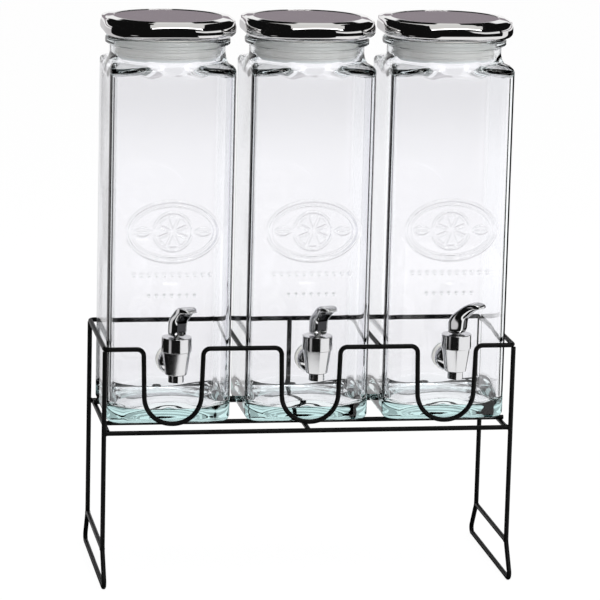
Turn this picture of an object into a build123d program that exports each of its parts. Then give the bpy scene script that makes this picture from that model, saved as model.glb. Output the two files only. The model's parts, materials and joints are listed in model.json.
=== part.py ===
from build123d import *
import math
import os

# Triple beverage dispenser: three square glass jars with metal lids and lever taps,
# standing in a welded wire stand. Millimetres, +Z up, the taps face -Y.

# Wire stand
wire_d = 4.5               # wire diameter, the same all over the stand
jar_side_gap = 1.6         # outer jar to the leg beside it
jar_front_gap = 6.0        # jar to the rails in front and behind
top_rail_z = 228.0         # centre of the top rail above the floor
shelf_z = 147.5            # centre of the shelf rails
foot_tie_z = 35.0          # centre of the foot ties, where the legs splay
foot_flare = 22.0          # how far each foot's corner steps out in front and behind
foot_flat = 0.25           # depth of the flat under each foot bar
foot_bend_r = 5.0          # centreline bend of the foot corners
splay_bend_r = 10.0        # centreline bend where a leg splays
rail_corner_r = 5.0        # centreline bend of the top rail's corners
spine_bend_r = 8.0         # centreline bend where the centre spine turns up
support_inset = 16.0       # jar's face to the support wire under it
weld_sink = 0.4            # how far two welded wires sink into each other

# U-shaped dips in the front of the top rail, one for each tap
dip_draw = 1.8             # how much closer together the dips stand than the jars
dip_depth = 72.0           # rail centre to the bottom of the dip
dip_mouth = 56.5           # arm to arm at the rail
dip_foot = 52.8            # arm to arm at the bottom
dip_lip_r = 6.5            # bend from the rail into an arm
dip_flat = 1.0             # straight run at the bottom between the two bends

# Glass jars
jar_width = 118.0
jar_gap = 14.4             # between two jars
jar_corner_r = 15.0
jar_wall = 4.5
jar_floor = 12.0           # thickness of the base
jar_heel_r = 5.0           # rounding under the base
jar_inner_heel_r = 8.0     # rounding inside, where the wall meets the base
jar_height = 360.8         # rim above the base
neck_height = 21.8         # rim above the foot of the neck
shoulder_ledge = 4.5       # body's face to the neck
bead_proud = 4.5           # bead beyond the neck
bead_height = 8.5          # rolled bead at the rim
bead_slope = 2.5           # height of the bead's lower slope
bead_r = 2.0               # rounding of the bead
shoulder_fall = 3.5        # drop of the shoulder from the neck to the body's corners
shoulder_r = 3.0           # rounding where the body turns into the shoulder
neck_root_r = 1.0          # rounding where the shoulder turns up into the neck

# Lids
lid_overhang = 3.0         # lid beyond the bead
lid_corner_r = 46.0
lid_height = 16.5
lid_crown_r = 8.5          # rounding of the rim's upper edge
lid_edge_r = 5.5           # rounding of the rim's lower edge
lid_sheet = 1.2            # metal thickness
lid_rim = 10.5             # lid's edge to the round sunk top
lid_dish_depth = 1.5
lid_dish_r = 1.2           # rounding of the dish's edge
lid_mouth_gap = 2.0        # plug to the lid's opening for it
plug_gap = 4.0             # plug to the neck's bore
plug_wall = 2.5
plug_plate = 2.0           # plate that holds the plug inside the lid
plug_plate_lap = 4.0       # plate beyond the plug
plug_reach = 23.0          # plug below the lid
seal_flange = 1.5          # silicone flange between lid and rim
seal_land = 5.0            # width of the rim that the flange covers
seal_body = 2.0            # radial thickness of the seal's sleeve
seal_length = 20.0
seal_rib_count = 3
seal_rib_height = 2.2      # height of one rib along the plug

# Taps
tap_h = 62.0               # shank axis above the jar's base
tap_reach = 40.0           # barrel axis in front of the glass
spout_d = 14.7
spout_bore_d = 10.0
spout_length = 7.0
barrel_foot_h = 57.0       # bottom of the tapered barrel above the jar's base
barrel_foot_d = 20.0
barrel_top_h = 79.0        # where the collar sits
barrel_top_d = 26.4
barrel_wall = 2.7
barrel_neck_d = 22.4       # neck inside the collar
barrel_neck_h = 8.0
barrel_neck_wall = 2.05
barrel_edge_r = 0.8
flange_d = 25.6            # domed flange against the glass
flange_rim = 1.6
dome_depth = 10.0
dome_nose_d = 13.0
shank_d = 14.6
shank_bore_d = 8.0
shank_end = 4.0            # shank past the nut
glass_hole_d = 16.0
washer = 2.0
washer_d = 27.5
washer_bore_d = 15.2
nut_flats = 21.0
nut_height = 8.0
bonnet_d = 28.2
bonnet_height = 13.7
bonnet_top = 3.0
bonnet_edge_r = 0.6

# Lever, its pin and the valve
lever_headings = (21.0, 17.0, 52.0)   # degrees each lever is turned from the front to +X
lever_width = 14.0
paddle_width = 17.0
lever_rear = 7.0           # pin axis to the back of the lever
heel_lead = 6.0            # pin axis to the centre of the round heel, forward
pin_h = 3.3                # pin axis above the bonnet
back_h = 15.0              # top of the lever's back
knee_reach = 13.0          # where the slope meets the paddle, forward of the pin
knee_h = 31.5
tip_reach = 28.0
tip_h = 29.5
tip_thickness = 3.6
tip_rake = 1.0             # how far the paddle's end leans back underneath
chin_h = 16.0              # where the paddle's underside leaves the neck
chin_r = 5.0
knee_r = 8.0
back_r = 3.0
lever_edge_r = 1.2         # rounding of the heel's back and the paddle's end
pocket_width = 9.5         # hollow in the lever's front and under the paddle
pocket_depth = 5.5         # how far it goes in from the neck's front
pocket_low = 5.0           # its foot above the bonnet
pocket_reach = 21.0        # its end under the paddle, forward of the pin
pocket_skin = 3.0          # metal left above it
lever_travel_deg = 50.0
pin_d = 2.6
stem_d = 5.0
tongue = 5.0               # thickness of the stem's flat head
tongue_r = 2.7             # rounding of the head about the pin
seat_d = 14.0
seat_height = 3.8
stem_in_seat = 2.6
spring_d = 11.0            # coil centre diameter
spring_wire = 0.9
spring_turns = 6

# Clearances
run = 0.06                 # radial running fit of a pin or stem in its hole
slip = 0.1                 # threads and sleeves within one assembly
gap = 0.3                  # between pieces that move past each other

# Values that follow from the sizes above
wire_r = wire_d / 2
jar_pitch = jar_width + jar_gap
leg_x = jar_pitch + jar_width / 2 + jar_side_gap + wire_r
leg_y = jar_width / 2 + jar_front_gap + wire_r
weld_pitch = wire_d - weld_sink               # centre distance of two crossing welded wires
side_rail_x = leg_x - weld_pitch
support_z = shelf_z + weld_pitch
support_y = jar_width / 2 - support_inset
butt_y = leg_y - wire_r + weld_sink           # end of a wire butted between front and rear
butt_x = leg_x - wire_r + weld_sink
leg_top_z = top_rail_z - wire_r + weld_sink
foot_bar_z = wire_r - foot_flat
foot_y = leg_y + foot_flare
foot_drop = foot_tie_z - foot_bar_z
splay = math.atan2(foot_flare, foot_drop)     # angle of the splayed leg from upright
splay_inset = splay_bend_r * (1 / math.cos(splay / 2) - 1)
tie_end_y = butt_y + splay_inset              # end of a foot tie, in the splay's bend
foot_turn = math.pi / 2 + splay               # turn of the wire at a foot's corner
foot_tip_y = foot_y - foot_bend_r * (math.tan(foot_turn / 2) - 1) + wire_r
spine_y = leg_y - weld_pitch
jar_base_z = support_z + wire_r + gap
jar_centres = (-jar_pitch, 0.0, jar_pitch)
dip_pitch = jar_pitch - dip_draw
dip_centres = (-dip_pitch, 0.0, dip_pitch)
jar_face_y = -jar_width / 2
jar_neck_h = jar_height - neck_height         # foot of the neck above the base
neck_r = jar_width / 2 - shoulder_ledge
neck_bore_r = neck_r - jar_wall
bead_d = 2 * (neck_r + bead_proud)
lid_width = bead_d + 2 * lid_overhang
lid_dish_d = lid_width - 2 * lid_rim
plug_d = 2 * (neck_bore_r - plug_gap)
plug_plate_d = plug_d + 2 * plug_plate_lap
lid_mouth_d = plug_d + 2 * lid_mouth_gap
seal_flange_d = 2 * (neck_bore_r + seal_land)
corner_reach = (jar_width / 2 - jar_corner_r) * math.sqrt(2) + jar_corner_r
shoulder_slope = shoulder_fall / (corner_reach - neck_r)
lid_z = jar_base_z + jar_height + gap + seal_flange
tap_y = jar_face_y - tap_reach
bonnet_top_h = barrel_top_h + bonnet_height
pin_z = bonnet_top_h + pin_h                  # pin axis above the jar's base
seat_h = barrel_foot_h + gap                  # underside of the closed valve seat
heel_r = pin_h - gap                          # round heel that rolls on the bonnet
valve_lift = heel_lead * math.radians(lever_travel_deg)
seal_bore_r = plug_d / 2 + slip
seal_rib_r = neck_bore_r - gap

# The origin is under the middle of the whole dispenser's box
front_reach = -tap_y + tip_reach * math.cos(math.radians(min(lever_headings)))
rear_reach = foot_tip_y
centre_y = (front_reach - rear_reach) / 2

sides = (("left", -1), ("right", 1))
jar_names = ("left", "middle", "right")


def wire(points, radii=None):
    """A round wire along straight runs joined by bends."""
    path = FilletPolyline(*points, radius=radii) if radii else Polyline(*points)
    return sweep(Plane(origin=path @ 0, z_dir=path % 0) * Circle(wire_r), path=path)


def rod(radius, low, high):
    """A plain round rod about the Z axis."""
    return Pos(0, 0, low) * extrude(Circle(radius), high - low)


def ring(outer_r, inner_r, low, high):
    """A plain round sleeve about the Z axis."""
    sleeve = Circle(outer_r) - Circle(inner_r)
    return Pos(0, 0, low) * extrude(sleeve, high - low)


def rounded_block(width, corner_r, low, high):
    """A square prism with rounded upright edges."""
    return Pos(0, 0, low) * extrude(RectangleRounded(width, width, corner_r), high - low)


def turned(points):
    """A solid turned about the Z axis from (radius, height) points."""
    outline = Polyline(*[(r, 0, h) for r, h in points], close=True)
    return revolve(make_face(outline), Axis.Z)


def along_y(solid, y, z):
    """Lays a solid that was made along Z so that its +Z points to the rear, at y and z."""
    return Pos(0, y, z) * Rot(-90, 0, 0) * solid


# Stand
def leg_frame(x):
    """Front leg, foot bar and rear leg bent from one wire, flat under the foot."""
    points = [
        (x, -leg_y, leg_top_z),
        (x, -leg_y, foot_tie_z),
        (x, -foot_y, foot_bar_z),
        (x, foot_y, foot_bar_z),
        (x, leg_y, foot_tie_z),
        (x, leg_y, leg_top_z),
    ]
    bends = [splay_bend_r, foot_bend_r, foot_bend_r, splay_bend_r]
    floor = Pos(x, 0, -wire_d / 2) * Box(2 * wire_d, 4 * foot_y, wire_d)
    return wire(points, bends) - floor


def dip_points(x):
    """Corners of one U-shaped dip, from left to right."""
    low_z = top_rail_z - dip_depth
    return [
        (x - dip_mouth / 2, -leg_y, top_rail_z),
        (x - dip_foot / 2, -leg_y, low_z),
        (x + dip_foot / 2, -leg_y, low_z),
        (x + dip_mouth / 2, -leg_y, top_rail_z),
    ]


def top_rail():
    """Closed loop with a dip in its front run for each tap."""
    lean = math.atan2((dip_mouth - dip_foot) / 2, dip_depth)
    bottom_r = (dip_foot - dip_flat) / 2 / math.tan((math.pi / 2 - lean) / 2)
    points = [(-leg_x, -leg_y, top_rail_z)]
    bends = [rail_corner_r]
    for x in dip_centres:
        points += dip_points(x)
        bends += [dip_lip_r, bottom_r, bottom_r, dip_lip_r]
    points += [
        (leg_x, -leg_y, top_rail_z),
        (leg_x, leg_y, top_rail_z),
        (-leg_x, leg_y, top_rail_z),
    ]
    bends += [rail_corner_r] * 3
    path = FilletPolyline(*points, radius=bends, close=True)
    return sweep(Plane(origin=path @ 0, z_dir=path % 0) * Circle(wire_r), path=path)


def stand():
    """Every wire of the stand, by name."""
    nodes = {"top_rail": top_rail()}
    for side, sign in sides:
        nodes[f"{side}_leg_frame"] = leg_frame(sign * leg_x)
        nodes[f"{side}_foot_tie"] = wire(
            [(sign * leg_x, -tie_end_y, foot_tie_z), (sign * leg_x, tie_end_y, foot_tie_z)]
        )
        divider_x = sign * jar_pitch / 2
        nodes[f"{side}_top_divider"] = wire(
            [(divider_x, -butt_y, top_rail_z), (divider_x, butt_y, top_rail_z)]
        )
        rail_x = sign * side_rail_x
        nodes[f"shelf_{side}_rail"] = wire(
            [(rail_x, -butt_y, shelf_z), (rail_x, butt_y, shelf_z)]
        )
    for place, sign in (("front", -1), ("rear", 1)):
        rail_y = sign * leg_y
        nodes[f"shelf_{place}_rail"] = wire(
            [(-butt_x, rail_y, shelf_z), (butt_x, rail_y, shelf_z)]
        )
        wire_y = sign * support_y
        end_x = side_rail_x + wire_r
        nodes[f"{place}_support_wire"] = wire(
            [(-end_x, wire_y, support_z), (end_x, wire_y, support_z)]
        )
    nodes["centre_spine"] = wire(
        [(0, -butt_y, shelf_z), (0, spine_y, shelf_z), (0, spine_y, top_rail_z + wire_r)],
        [spine_bend_r],
    )
    return nodes


# Jar
def edges_between(solid, low, high):
    """Edges that lie wholly between two heights."""
    return [
        e for e in solid.edges()
        if e.bounding_box().min.Z > low - slip and e.bounding_box().max.Z < high + slip
    ]


def shoulder_height(radius, neck_radius, neck_foot):
    """Height of the conical shoulder at a radius."""
    return neck_foot - shoulder_slope * (radius - neck_radius)


def glass_jar():
    """Square jar with a conical shoulder, round neck, rolled bead and tap hole, on z = 0."""
    wide_r = corner_reach + jar_corner_r
    bead_low = jar_height - bead_height
    outer_turn = turned([
        (0, 0),
        (wide_r, 0),
        (wide_r, shoulder_height(wide_r, neck_r, jar_neck_h)),
        (neck_r, jar_neck_h),
        (neck_r, bead_low),
        (bead_d / 2, bead_low + bead_slope),
        (bead_d / 2, jar_height),
        (0, jar_height),
    ])
    outer = outer_turn & rounded_block(jar_width, jar_corner_r, 0, jar_height)
    inner_foot = jar_neck_h - jar_wall
    inner_turn = turned([
        (0, jar_floor),
        (wide_r, jar_floor),
        (wide_r, shoulder_height(wide_r, neck_bore_r, inner_foot)),
        (neck_bore_r, inner_foot),
        (neck_bore_r, jar_height + jar_wall),
        (0, jar_height + jar_wall),
    ])
    inner_width = jar_width - 2 * jar_wall
    inner_corner_r = jar_corner_r - jar_wall
    cavity = inner_turn & rounded_block(
        inner_width, inner_corner_r, jar_floor, jar_height + jar_wall
    )
    cavity = fillet(cavity.faces().sort_by(Axis.Z)[0].edges(), jar_inner_heel_r)
    outer = fillet(outer.faces().sort_by(Axis.Z)[0].edges(), jar_heel_r)
    outer = fillet(edges_between(outer, bead_low + bead_slope, jar_height), bead_r)
    outer = fillet(edges_between(outer, jar_neck_h, jar_neck_h), neck_root_r)
    crest_h = shoulder_height(jar_width / 2, neck_r, jar_neck_h)
    outer = fillet(edges_between(outer, jar_neck_h - shoulder_fall, crest_h), shoulder_r)
    hole = along_y(Cylinder(glass_hole_d / 2, 4 * jar_wall), jar_face_y, tap_h)
    return outer - cavity - hole


# Lid
def rolled_plate(width, corner_r, low, high, crown_r, edge_r):
    """Rounded-square plate with rounded upper and lower edges."""
    plate = rounded_block(width, corner_r, low, high)
    plate = fillet(plate.faces().sort_by(Axis.Z)[-1].edges(), crown_r)
    return fillet(plate.faces().sort_by(Axis.Z)[0].edges(), edge_r)


def lid_shell():
    """Thin metal lid with a rolled rim and a sunk round top, underside on z = 0."""
    dish_floor = lid_height - lid_dish_depth
    outer = rolled_plate(lid_width, lid_corner_r, 0, lid_height, lid_crown_r, lid_edge_r)
    outer -= Pos(0, 0, dish_floor) * extrude(Circle(lid_dish_d / 2), lid_height)
    crest = [
        e for e in outer.edges().filter_by(GeomType.CIRCLE)
        if abs(e.radius - lid_dish_d / 2) < slip and e.center().Z > lid_height - slip
    ]
    outer = fillet(crest, lid_dish_r)
    hollow = rolled_plate(
        lid_width - 2 * lid_sheet,
        lid_corner_r - lid_sheet,
        lid_sheet,
        lid_height - lid_sheet,
        lid_crown_r - lid_sheet,
        lid_edge_r - lid_sheet,
    )
    dish_back = Pos(0, 0, dish_floor - lid_sheet) * extrude(
        Circle(lid_dish_d / 2 + lid_sheet), lid_height
    )
    mouth = Pos(0, 0, -lid_sheet) * extrude(Circle(lid_mouth_d / 2), 3 * lid_sheet)
    return outer - (hollow - dish_back) - mouth


def lid_plug():
    """Hollow plug hung from a plate inside the lid."""
    plate_top = lid_height - lid_dish_depth - lid_sheet
    plate_low = plate_top - plug_plate
    wall = ring(plug_d / 2, plug_d / 2 - plug_wall, -plug_reach, plate_low)
    plate = Pos(0, 0, plate_low) * extrude(Circle(plug_plate_d / 2), plug_plate)
    return wall + plate


def lid_seal():
    """Silicone sleeve round the plug, with ribs and a flange that sits on the rim."""
    sleeve_r = seal_bore_r + seal_body
    seal = ring(seal_flange_d / 2, seal_bore_r, -seal_flange, 0)
    seal += ring(sleeve_r, seal_bore_r, -seal_length, -seal_flange)
    pitch = (seal_length - seal_flange) / seal_rib_count
    for i in range(seal_rib_count):
        low = -seal_length + (i + 0.5) * pitch - seal_rib_height / 2
        rib = turned([
            (seal_bore_r + seal_body / 2, low),
            (seal_rib_r, low + seal_rib_height / 2),
            (seal_bore_r + seal_body / 2, low + seal_rib_height),
        ])
        seal += rib
    return seal


# Tap, about the barrel axis with z = 0 at the jar's base
def flange_dome(back):
    """Neck from the barrel that swells into a domed flange, along Z up to its back face."""
    nose_r = dome_nose_d / 2
    flange_r = flange_d / 2
    dome_back = back - flange_rim
    dome_front = dome_back - dome_depth
    bulge = math.sqrt(0.5)
    swell = ThreePointArc(
        (nose_r, 0, dome_front),
        (
            nose_r + (flange_r - nose_r) * bulge,
            0,
            dome_back - dome_depth * bulge,
        ),
        (flange_r, 0, dome_back),
    )
    rest = Polyline(
        (flange_r, 0, dome_back),
        (flange_r, 0, back),
        (0, 0, back),
        (0, 0, 0),
        (nose_r, 0, 0),
        (nose_r, 0, dome_front),
    )
    return revolve(make_face([*swell.edges(), *rest.edges()]), Axis.Z)


def tap_body():
    """Tapered barrel, spout, domed flange and hollow shank in one casting."""
    neck_top = barrel_top_h + barrel_neck_h
    barrel = turned([
        (0, barrel_foot_h - spout_length),
        (spout_d / 2, barrel_foot_h - spout_length),
        (spout_d / 2, barrel_foot_h),
        (barrel_foot_d / 2, barrel_foot_h),
        (barrel_top_d / 2, barrel_top_h),
        (barrel_neck_d / 2, barrel_top_h),
        (barrel_neck_d / 2, neck_top),
        (0, neck_top),
    ])
    foot_edges = [
        e for e in barrel.edges().filter_by(GeomType.CIRCLE)
        if abs(e.radius - barrel_foot_d / 2) < slip
    ]
    barrel = fillet(foot_edges, barrel_edge_r)
    flange_back = tap_reach - washer
    dome = along_y(flange_dome(flange_back), 0, tap_h)
    shank_length = washer + jar_wall + washer + nut_height + shank_end
    shank = along_y(Cylinder(shank_d / 2, shank_length), flange_back + shank_length / 2, tap_h)
    chamber_top_r = barrel_neck_d / 2 - barrel_neck_wall
    chamber = turned([
        (0, barrel_foot_h),
        (barrel_foot_d / 2 - barrel_wall, barrel_foot_h),
        (chamber_top_r, barrel_top_h),
        (chamber_top_r, neck_top + slip),
        (0, neck_top + slip),
    ])
    outlet = Pos(0, 0, barrel_foot_h - 2 * spout_length) * extrude(
        Circle(spout_bore_d / 2), 3 * spout_length
    )
    inlet_length = tap_reach + shank_length
    inlet = along_y(Cylinder(shank_bore_d / 2, inlet_length), inlet_length / 2, tap_h)
    return barrel + dome + shank - chamber - outlet - inlet


def tap_bonnet():
    """Collar screwed over the barrel's neck, with a hole for the stem."""
    collar = ring(bonnet_d / 2, stem_d / 2 + run, barrel_top_h, bonnet_top_h)
    rim = [
        e for e in collar.edges().filter_by(GeomType.CIRCLE)
        if abs(e.radius - bonnet_d / 2) < slip
    ]
    collar = fillet(rim, bonnet_edge_r)
    return collar - rod(barrel_neck_d / 2 + slip, barrel_top_h, bonnet_top_h - bonnet_top)


# Lever, pin and valve, about the stem axis with z = 0 at the jar's base, lever facing -Y
def lever_outline():
    """Side outline of the lever, with a round heel that rolls on the bonnet."""
    front = heel_lead + heel_r
    corners = [
        (lever_point(-lever_rear, gap), lever_edge_r),
        (lever_point(front, gap), heel_r),
        (lever_point(front, chin_h), chin_r),
        (lever_point(tip_reach - tip_rake, tip_h - tip_thickness), lever_edge_r),
        (lever_point(tip_reach, tip_h), lever_edge_r),
        (lever_point(knee_reach, knee_h), knee_r),
        (lever_point(-lever_rear, back_h), back_r),
    ]
    points = [point for point, _ in corners]
    bends = [bend for _, bend in corners]
    return make_face(FilletPolyline(*points, radius=bends, close=True))


def lever_point(forward, above):
    """A point of the lever's side outline."""
    return (0, -forward, bonnet_top_h + above)


def lever_plan():
    """Plan of the lever: a straight neck that widens into a round-ended paddle."""
    end_y = -(tip_reach - paddle_width / 2)
    neck_y = -heel_lead
    half_neck = lever_width / 2
    half_paddle = paddle_width / 2
    sides_of_plan = Polyline(
        (-half_paddle, end_y),
        (-half_neck, neck_y),
        (-half_neck, lever_rear),
        (half_neck, lever_rear),
        (half_neck, neck_y),
        (half_paddle, end_y),
    )
    end = ThreePointArc((half_paddle, end_y), (0, -tip_reach), (-half_paddle, end_y))
    return make_face([*sides_of_plan.edges(), *end.edges()])


def lever_pocket():
    """Hollow in the lever's front that runs up under the paddle."""
    root = heel_lead + heel_r - pocket_depth
    back_slope = (knee_h - back_h) / (knee_reach + lever_rear)
    paddle_slope = (tip_h - knee_h) / (tip_reach - knee_reach)
    root_h = back_h + back_slope * (root + lever_rear)
    end_h = knee_h + paddle_slope * (pocket_reach - knee_reach)
    side = Polyline(
        lever_point(root, pocket_low),
        lever_point(pocket_reach, pocket_low),
        lever_point(pocket_reach, end_h - pocket_skin),
        lever_point(knee_reach, knee_h - pocket_skin),
        lever_point(root, root_h - pocket_skin),
        close=True,
    )
    return extrude(make_face(side), amount=pocket_width / 2, both=True)


def tap_lever():
    """Lever with a round heel, forked over the stem's head, and a hollow paddle to pull."""
    lever = extrude(lever_outline(), amount=paddle_width, both=True)
    lever &= Pos(0, 0, bonnet_top_h) * extrude(lever_plan(), max(knee_h, tip_h))
    slot_top = pin_z + tongue_r + 2 * gap
    slot = Pos(0, 0, slot_top - back_h) * Box(tongue + 2 * gap, 4 * lever_rear, 2 * back_h)
    bore = Pos(0, 0, pin_z) * Rot(0, 90, 0) * Cylinder(pin_d / 2 + run, 2 * paddle_width)
    return lever - slot - bore - lever_pocket()


def lever_pin():
    """Pin through the lever's fork and the stem's head."""
    return Pos(0, 0, pin_z) * Rot(0, 90, 0) * Cylinder(pin_d / 2, lever_width - 2 * gap)


def valve_stem():
    """Stem with a flat head on the lever's pin, its foot held in the silicone seat."""
    foot = seat_h + seat_height - stem_in_seat
    head_low = bonnet_top_h + 2 * gap
    stem = rod(stem_d / 2, foot, head_low)
    head = Pos(0, 0, (head_low + pin_z) / 2) * Box(tongue, 2 * tongue_r, pin_z - head_low)
    head += Pos(0, 0, pin_z) * Rot(0, 90, 0) * Cylinder(tongue_r, tongue)
    eye = Pos(0, 0, pin_z) * Rot(0, 90, 0) * Cylinder(pin_d / 2 + run / 2, 2 * tongue)
    return stem + head - eye


def valve_seat():
    """Silicone cup on the stem's foot, which closes the spout's bore."""
    cup = rod(seat_d / 2, seat_h, seat_h + seat_height)
    socket_low = seat_h + seat_height - stem_in_seat
    return cup - rod(stem_d / 2, socket_low, seat_h + 2 * seat_height)


def biarc(start, start_dir, end, end_dir):
    """Two arcs that join two points and keep the direction at both."""
    chord = end - start
    spread = 2 * (1 - start_dir.dot(end_dir))
    along = chord.dot(start_dir + end_dir)
    reach = (math.sqrt(along ** 2 + spread * chord.dot(chord)) - along) / spread
    middle = (start + end) / 2 + (start_dir - end_dir) * (reach / 2)
    middle_dir = (end - end_dir * reach) - (start + start_dir * reach)
    first = Edge.make_tangent_arc(start, start_dir, middle)
    second = Edge.make_tangent_arc(middle, middle_dir, end)
    return [first, second]


def valve_spring():
    """Compression spring round the stem, between the seat and the bonnet."""
    low = seat_h + seat_height + spring_wire / 2 + gap
    high = bonnet_top_h - bonnet_top - spring_wire / 2 - gap
    coil_r = spring_d / 2
    rise = (high - low) / spring_turns
    steps = 4 * spring_turns
    points = []
    directions = []
    for i in range(steps + 1):
        angle = math.pi / 2 * i
        points.append(
            Vector(coil_r * math.cos(angle), coil_r * math.sin(angle), low + rise * i / 4)
        )
        directions.append(
            Vector(
                -coil_r * math.sin(angle), coil_r * math.cos(angle), rise / (2 * math.pi)
            ).normalized()
        )
    edges = []
    for i in range(steps):
        edges += biarc(points[i], directions[i], points[i + 1], directions[i + 1])
    path = Wire(edges)
    least = min(
        (points[i] - points[j]).length
        for i in range(steps + 1)
        for j in range(i + 3, steps + 1)
    )
    print(f"valve spring: least gap between turns {least - spring_wire:.2f} mm")
    section = Plane(origin=points[0], z_dir=directions[0]) * Circle(spring_wire / 2)
    return sweep(section, path=path)


def shank_pieces():
    """Washers on both sides of the glass and the nut, along the shank from the barrel axis."""
    seat_ring = ring(washer_d / 2, washer_bore_d / 2, 0, washer)
    nut = extrude(
        RegularPolygon(nut_flats / 2, 6, major_radius=False) - Circle(shank_d / 2 + slip),
        nut_height,
    )
    inside = tap_reach + jar_wall
    return {
        "outer_washer": along_y(seat_ring, tap_reach - washer, tap_h),
        "inner_washer": along_y(seat_ring, inside, tap_h),
        "shank_nut": along_y(nut, inside + washer, tap_h),
    }


def jar_set(x, heading):
    """One jar with its lid and tap, all its pieces by name."""
    jar_place = Pos(x, 0, jar_base_z)
    lid_place = Pos(x, 0, lid_z)
    tap_place = Pos(x, tap_y, jar_base_z)
    lever_place = tap_place * Rot(0, 0, heading)
    nodes = {
        "jar": jar_place * glass_jar(),
        "lid_shell": lid_place * lid_shell(),
        "lid_plug": lid_place * lid_plug(),
        "lid_seal": lid_place * lid_seal(),
        "tap_body": tap_place * tap_body(),
        "tap_bonnet": tap_place * tap_bonnet(),
        "tap_lever": lever_place * tap_lever(),
        "lever_pin": lever_place * lever_pin(),
        "valve_stem": lever_place * valve_stem(),
        "valve_seat": tap_place * valve_seat(),
        "valve_spring": tap_place * valve_spring(),
    }
    for name, piece in shank_pieces().items():
        nodes[name] = tap_place * piece
    return nodes


nodes = stand()
for jar_name, jar_x, lever_heading in zip(jar_names, jar_centres, lever_headings):
    for piece_name, piece in jar_set(jar_x, lever_heading).items():
        nodes[f"{jar_name}_{piece_name}"] = piece

os.makedirs("parts", exist_ok=True)
for node_name, node in nodes.items():
    export_step(Pos(0, centre_y, 0) * node, f"parts/{node_name}.step")
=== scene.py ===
import json
import math

import bmesh
import bpy
from bpy.props import FloatProperty, FloatVectorProperty, IntProperty, PointerProperty
from mathutils import Matrix, Vector


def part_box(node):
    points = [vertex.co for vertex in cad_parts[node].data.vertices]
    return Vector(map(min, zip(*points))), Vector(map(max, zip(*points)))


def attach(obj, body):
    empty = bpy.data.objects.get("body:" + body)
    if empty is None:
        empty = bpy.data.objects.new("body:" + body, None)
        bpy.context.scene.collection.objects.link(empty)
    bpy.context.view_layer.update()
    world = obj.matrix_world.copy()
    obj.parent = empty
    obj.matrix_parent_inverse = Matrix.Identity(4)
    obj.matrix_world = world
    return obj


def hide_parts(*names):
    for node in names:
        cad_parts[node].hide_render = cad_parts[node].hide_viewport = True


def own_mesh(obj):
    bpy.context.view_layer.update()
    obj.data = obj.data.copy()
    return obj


bl_info = {
    "name": "Triple Drink Dispenser",
    "version": (1, 0, 0),
    "blender": (4, 5, 0),
    "location": "View3D > Sidebar > Dispenser",
    "description": "Dresses the packed dispenser: glass jars, metal lids, chrome taps and a wire stand",
    "category": "Object",
}

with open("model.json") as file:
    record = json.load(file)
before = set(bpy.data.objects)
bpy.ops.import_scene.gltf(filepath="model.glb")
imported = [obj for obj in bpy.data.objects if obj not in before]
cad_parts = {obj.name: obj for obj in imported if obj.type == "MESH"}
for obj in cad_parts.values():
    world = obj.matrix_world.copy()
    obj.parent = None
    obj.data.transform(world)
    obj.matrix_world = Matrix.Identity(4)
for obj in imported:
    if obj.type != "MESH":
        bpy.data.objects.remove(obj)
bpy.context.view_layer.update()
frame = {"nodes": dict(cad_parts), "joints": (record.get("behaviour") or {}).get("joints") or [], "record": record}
nodes = frame["nodes"]
behaviour = frame["record"]["behaviour"]
MM = 0.001
JARS = ("left", "middle", "right")
STAND_WIRES = behaviour["bodies"]["stand"]


def middle(node):
    """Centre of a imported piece's box."""
    low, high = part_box(node)
    return (low + high) / 2


def footing(node):
    """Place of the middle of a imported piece's underside, half its width, and its height."""
    low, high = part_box(node)
    place = Matrix.Translation(((low.x + high.x) / 2, (low.y + high.y) / 2, low.z))
    return place, (high.x - low.x) / 2, high.z - low.z


def hinge(name):
    """Place and axis of a packed joint."""
    joint = next(j for j in frame["joints"] if j["name"] == name)
    return Vector(joint["pos_m"]), Vector(joint["axis"])


# Settings
def number(default, name, description, **limits):
    """A plain number that the user can change."""
    return FloatProperty(name=name, description=description, default=default, **limits)


def size(default, name, description):
    """A length in millimetres that the user can change."""
    return number(default * MM, name, description, unit="LENGTH", precision=4)


def shade(default, name, description):
    """A colour that the user can change."""
    return FloatVectorProperty(
        name=name, description=description, default=default, subtype="COLOR", size=3, min=0, max=1
    )


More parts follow.
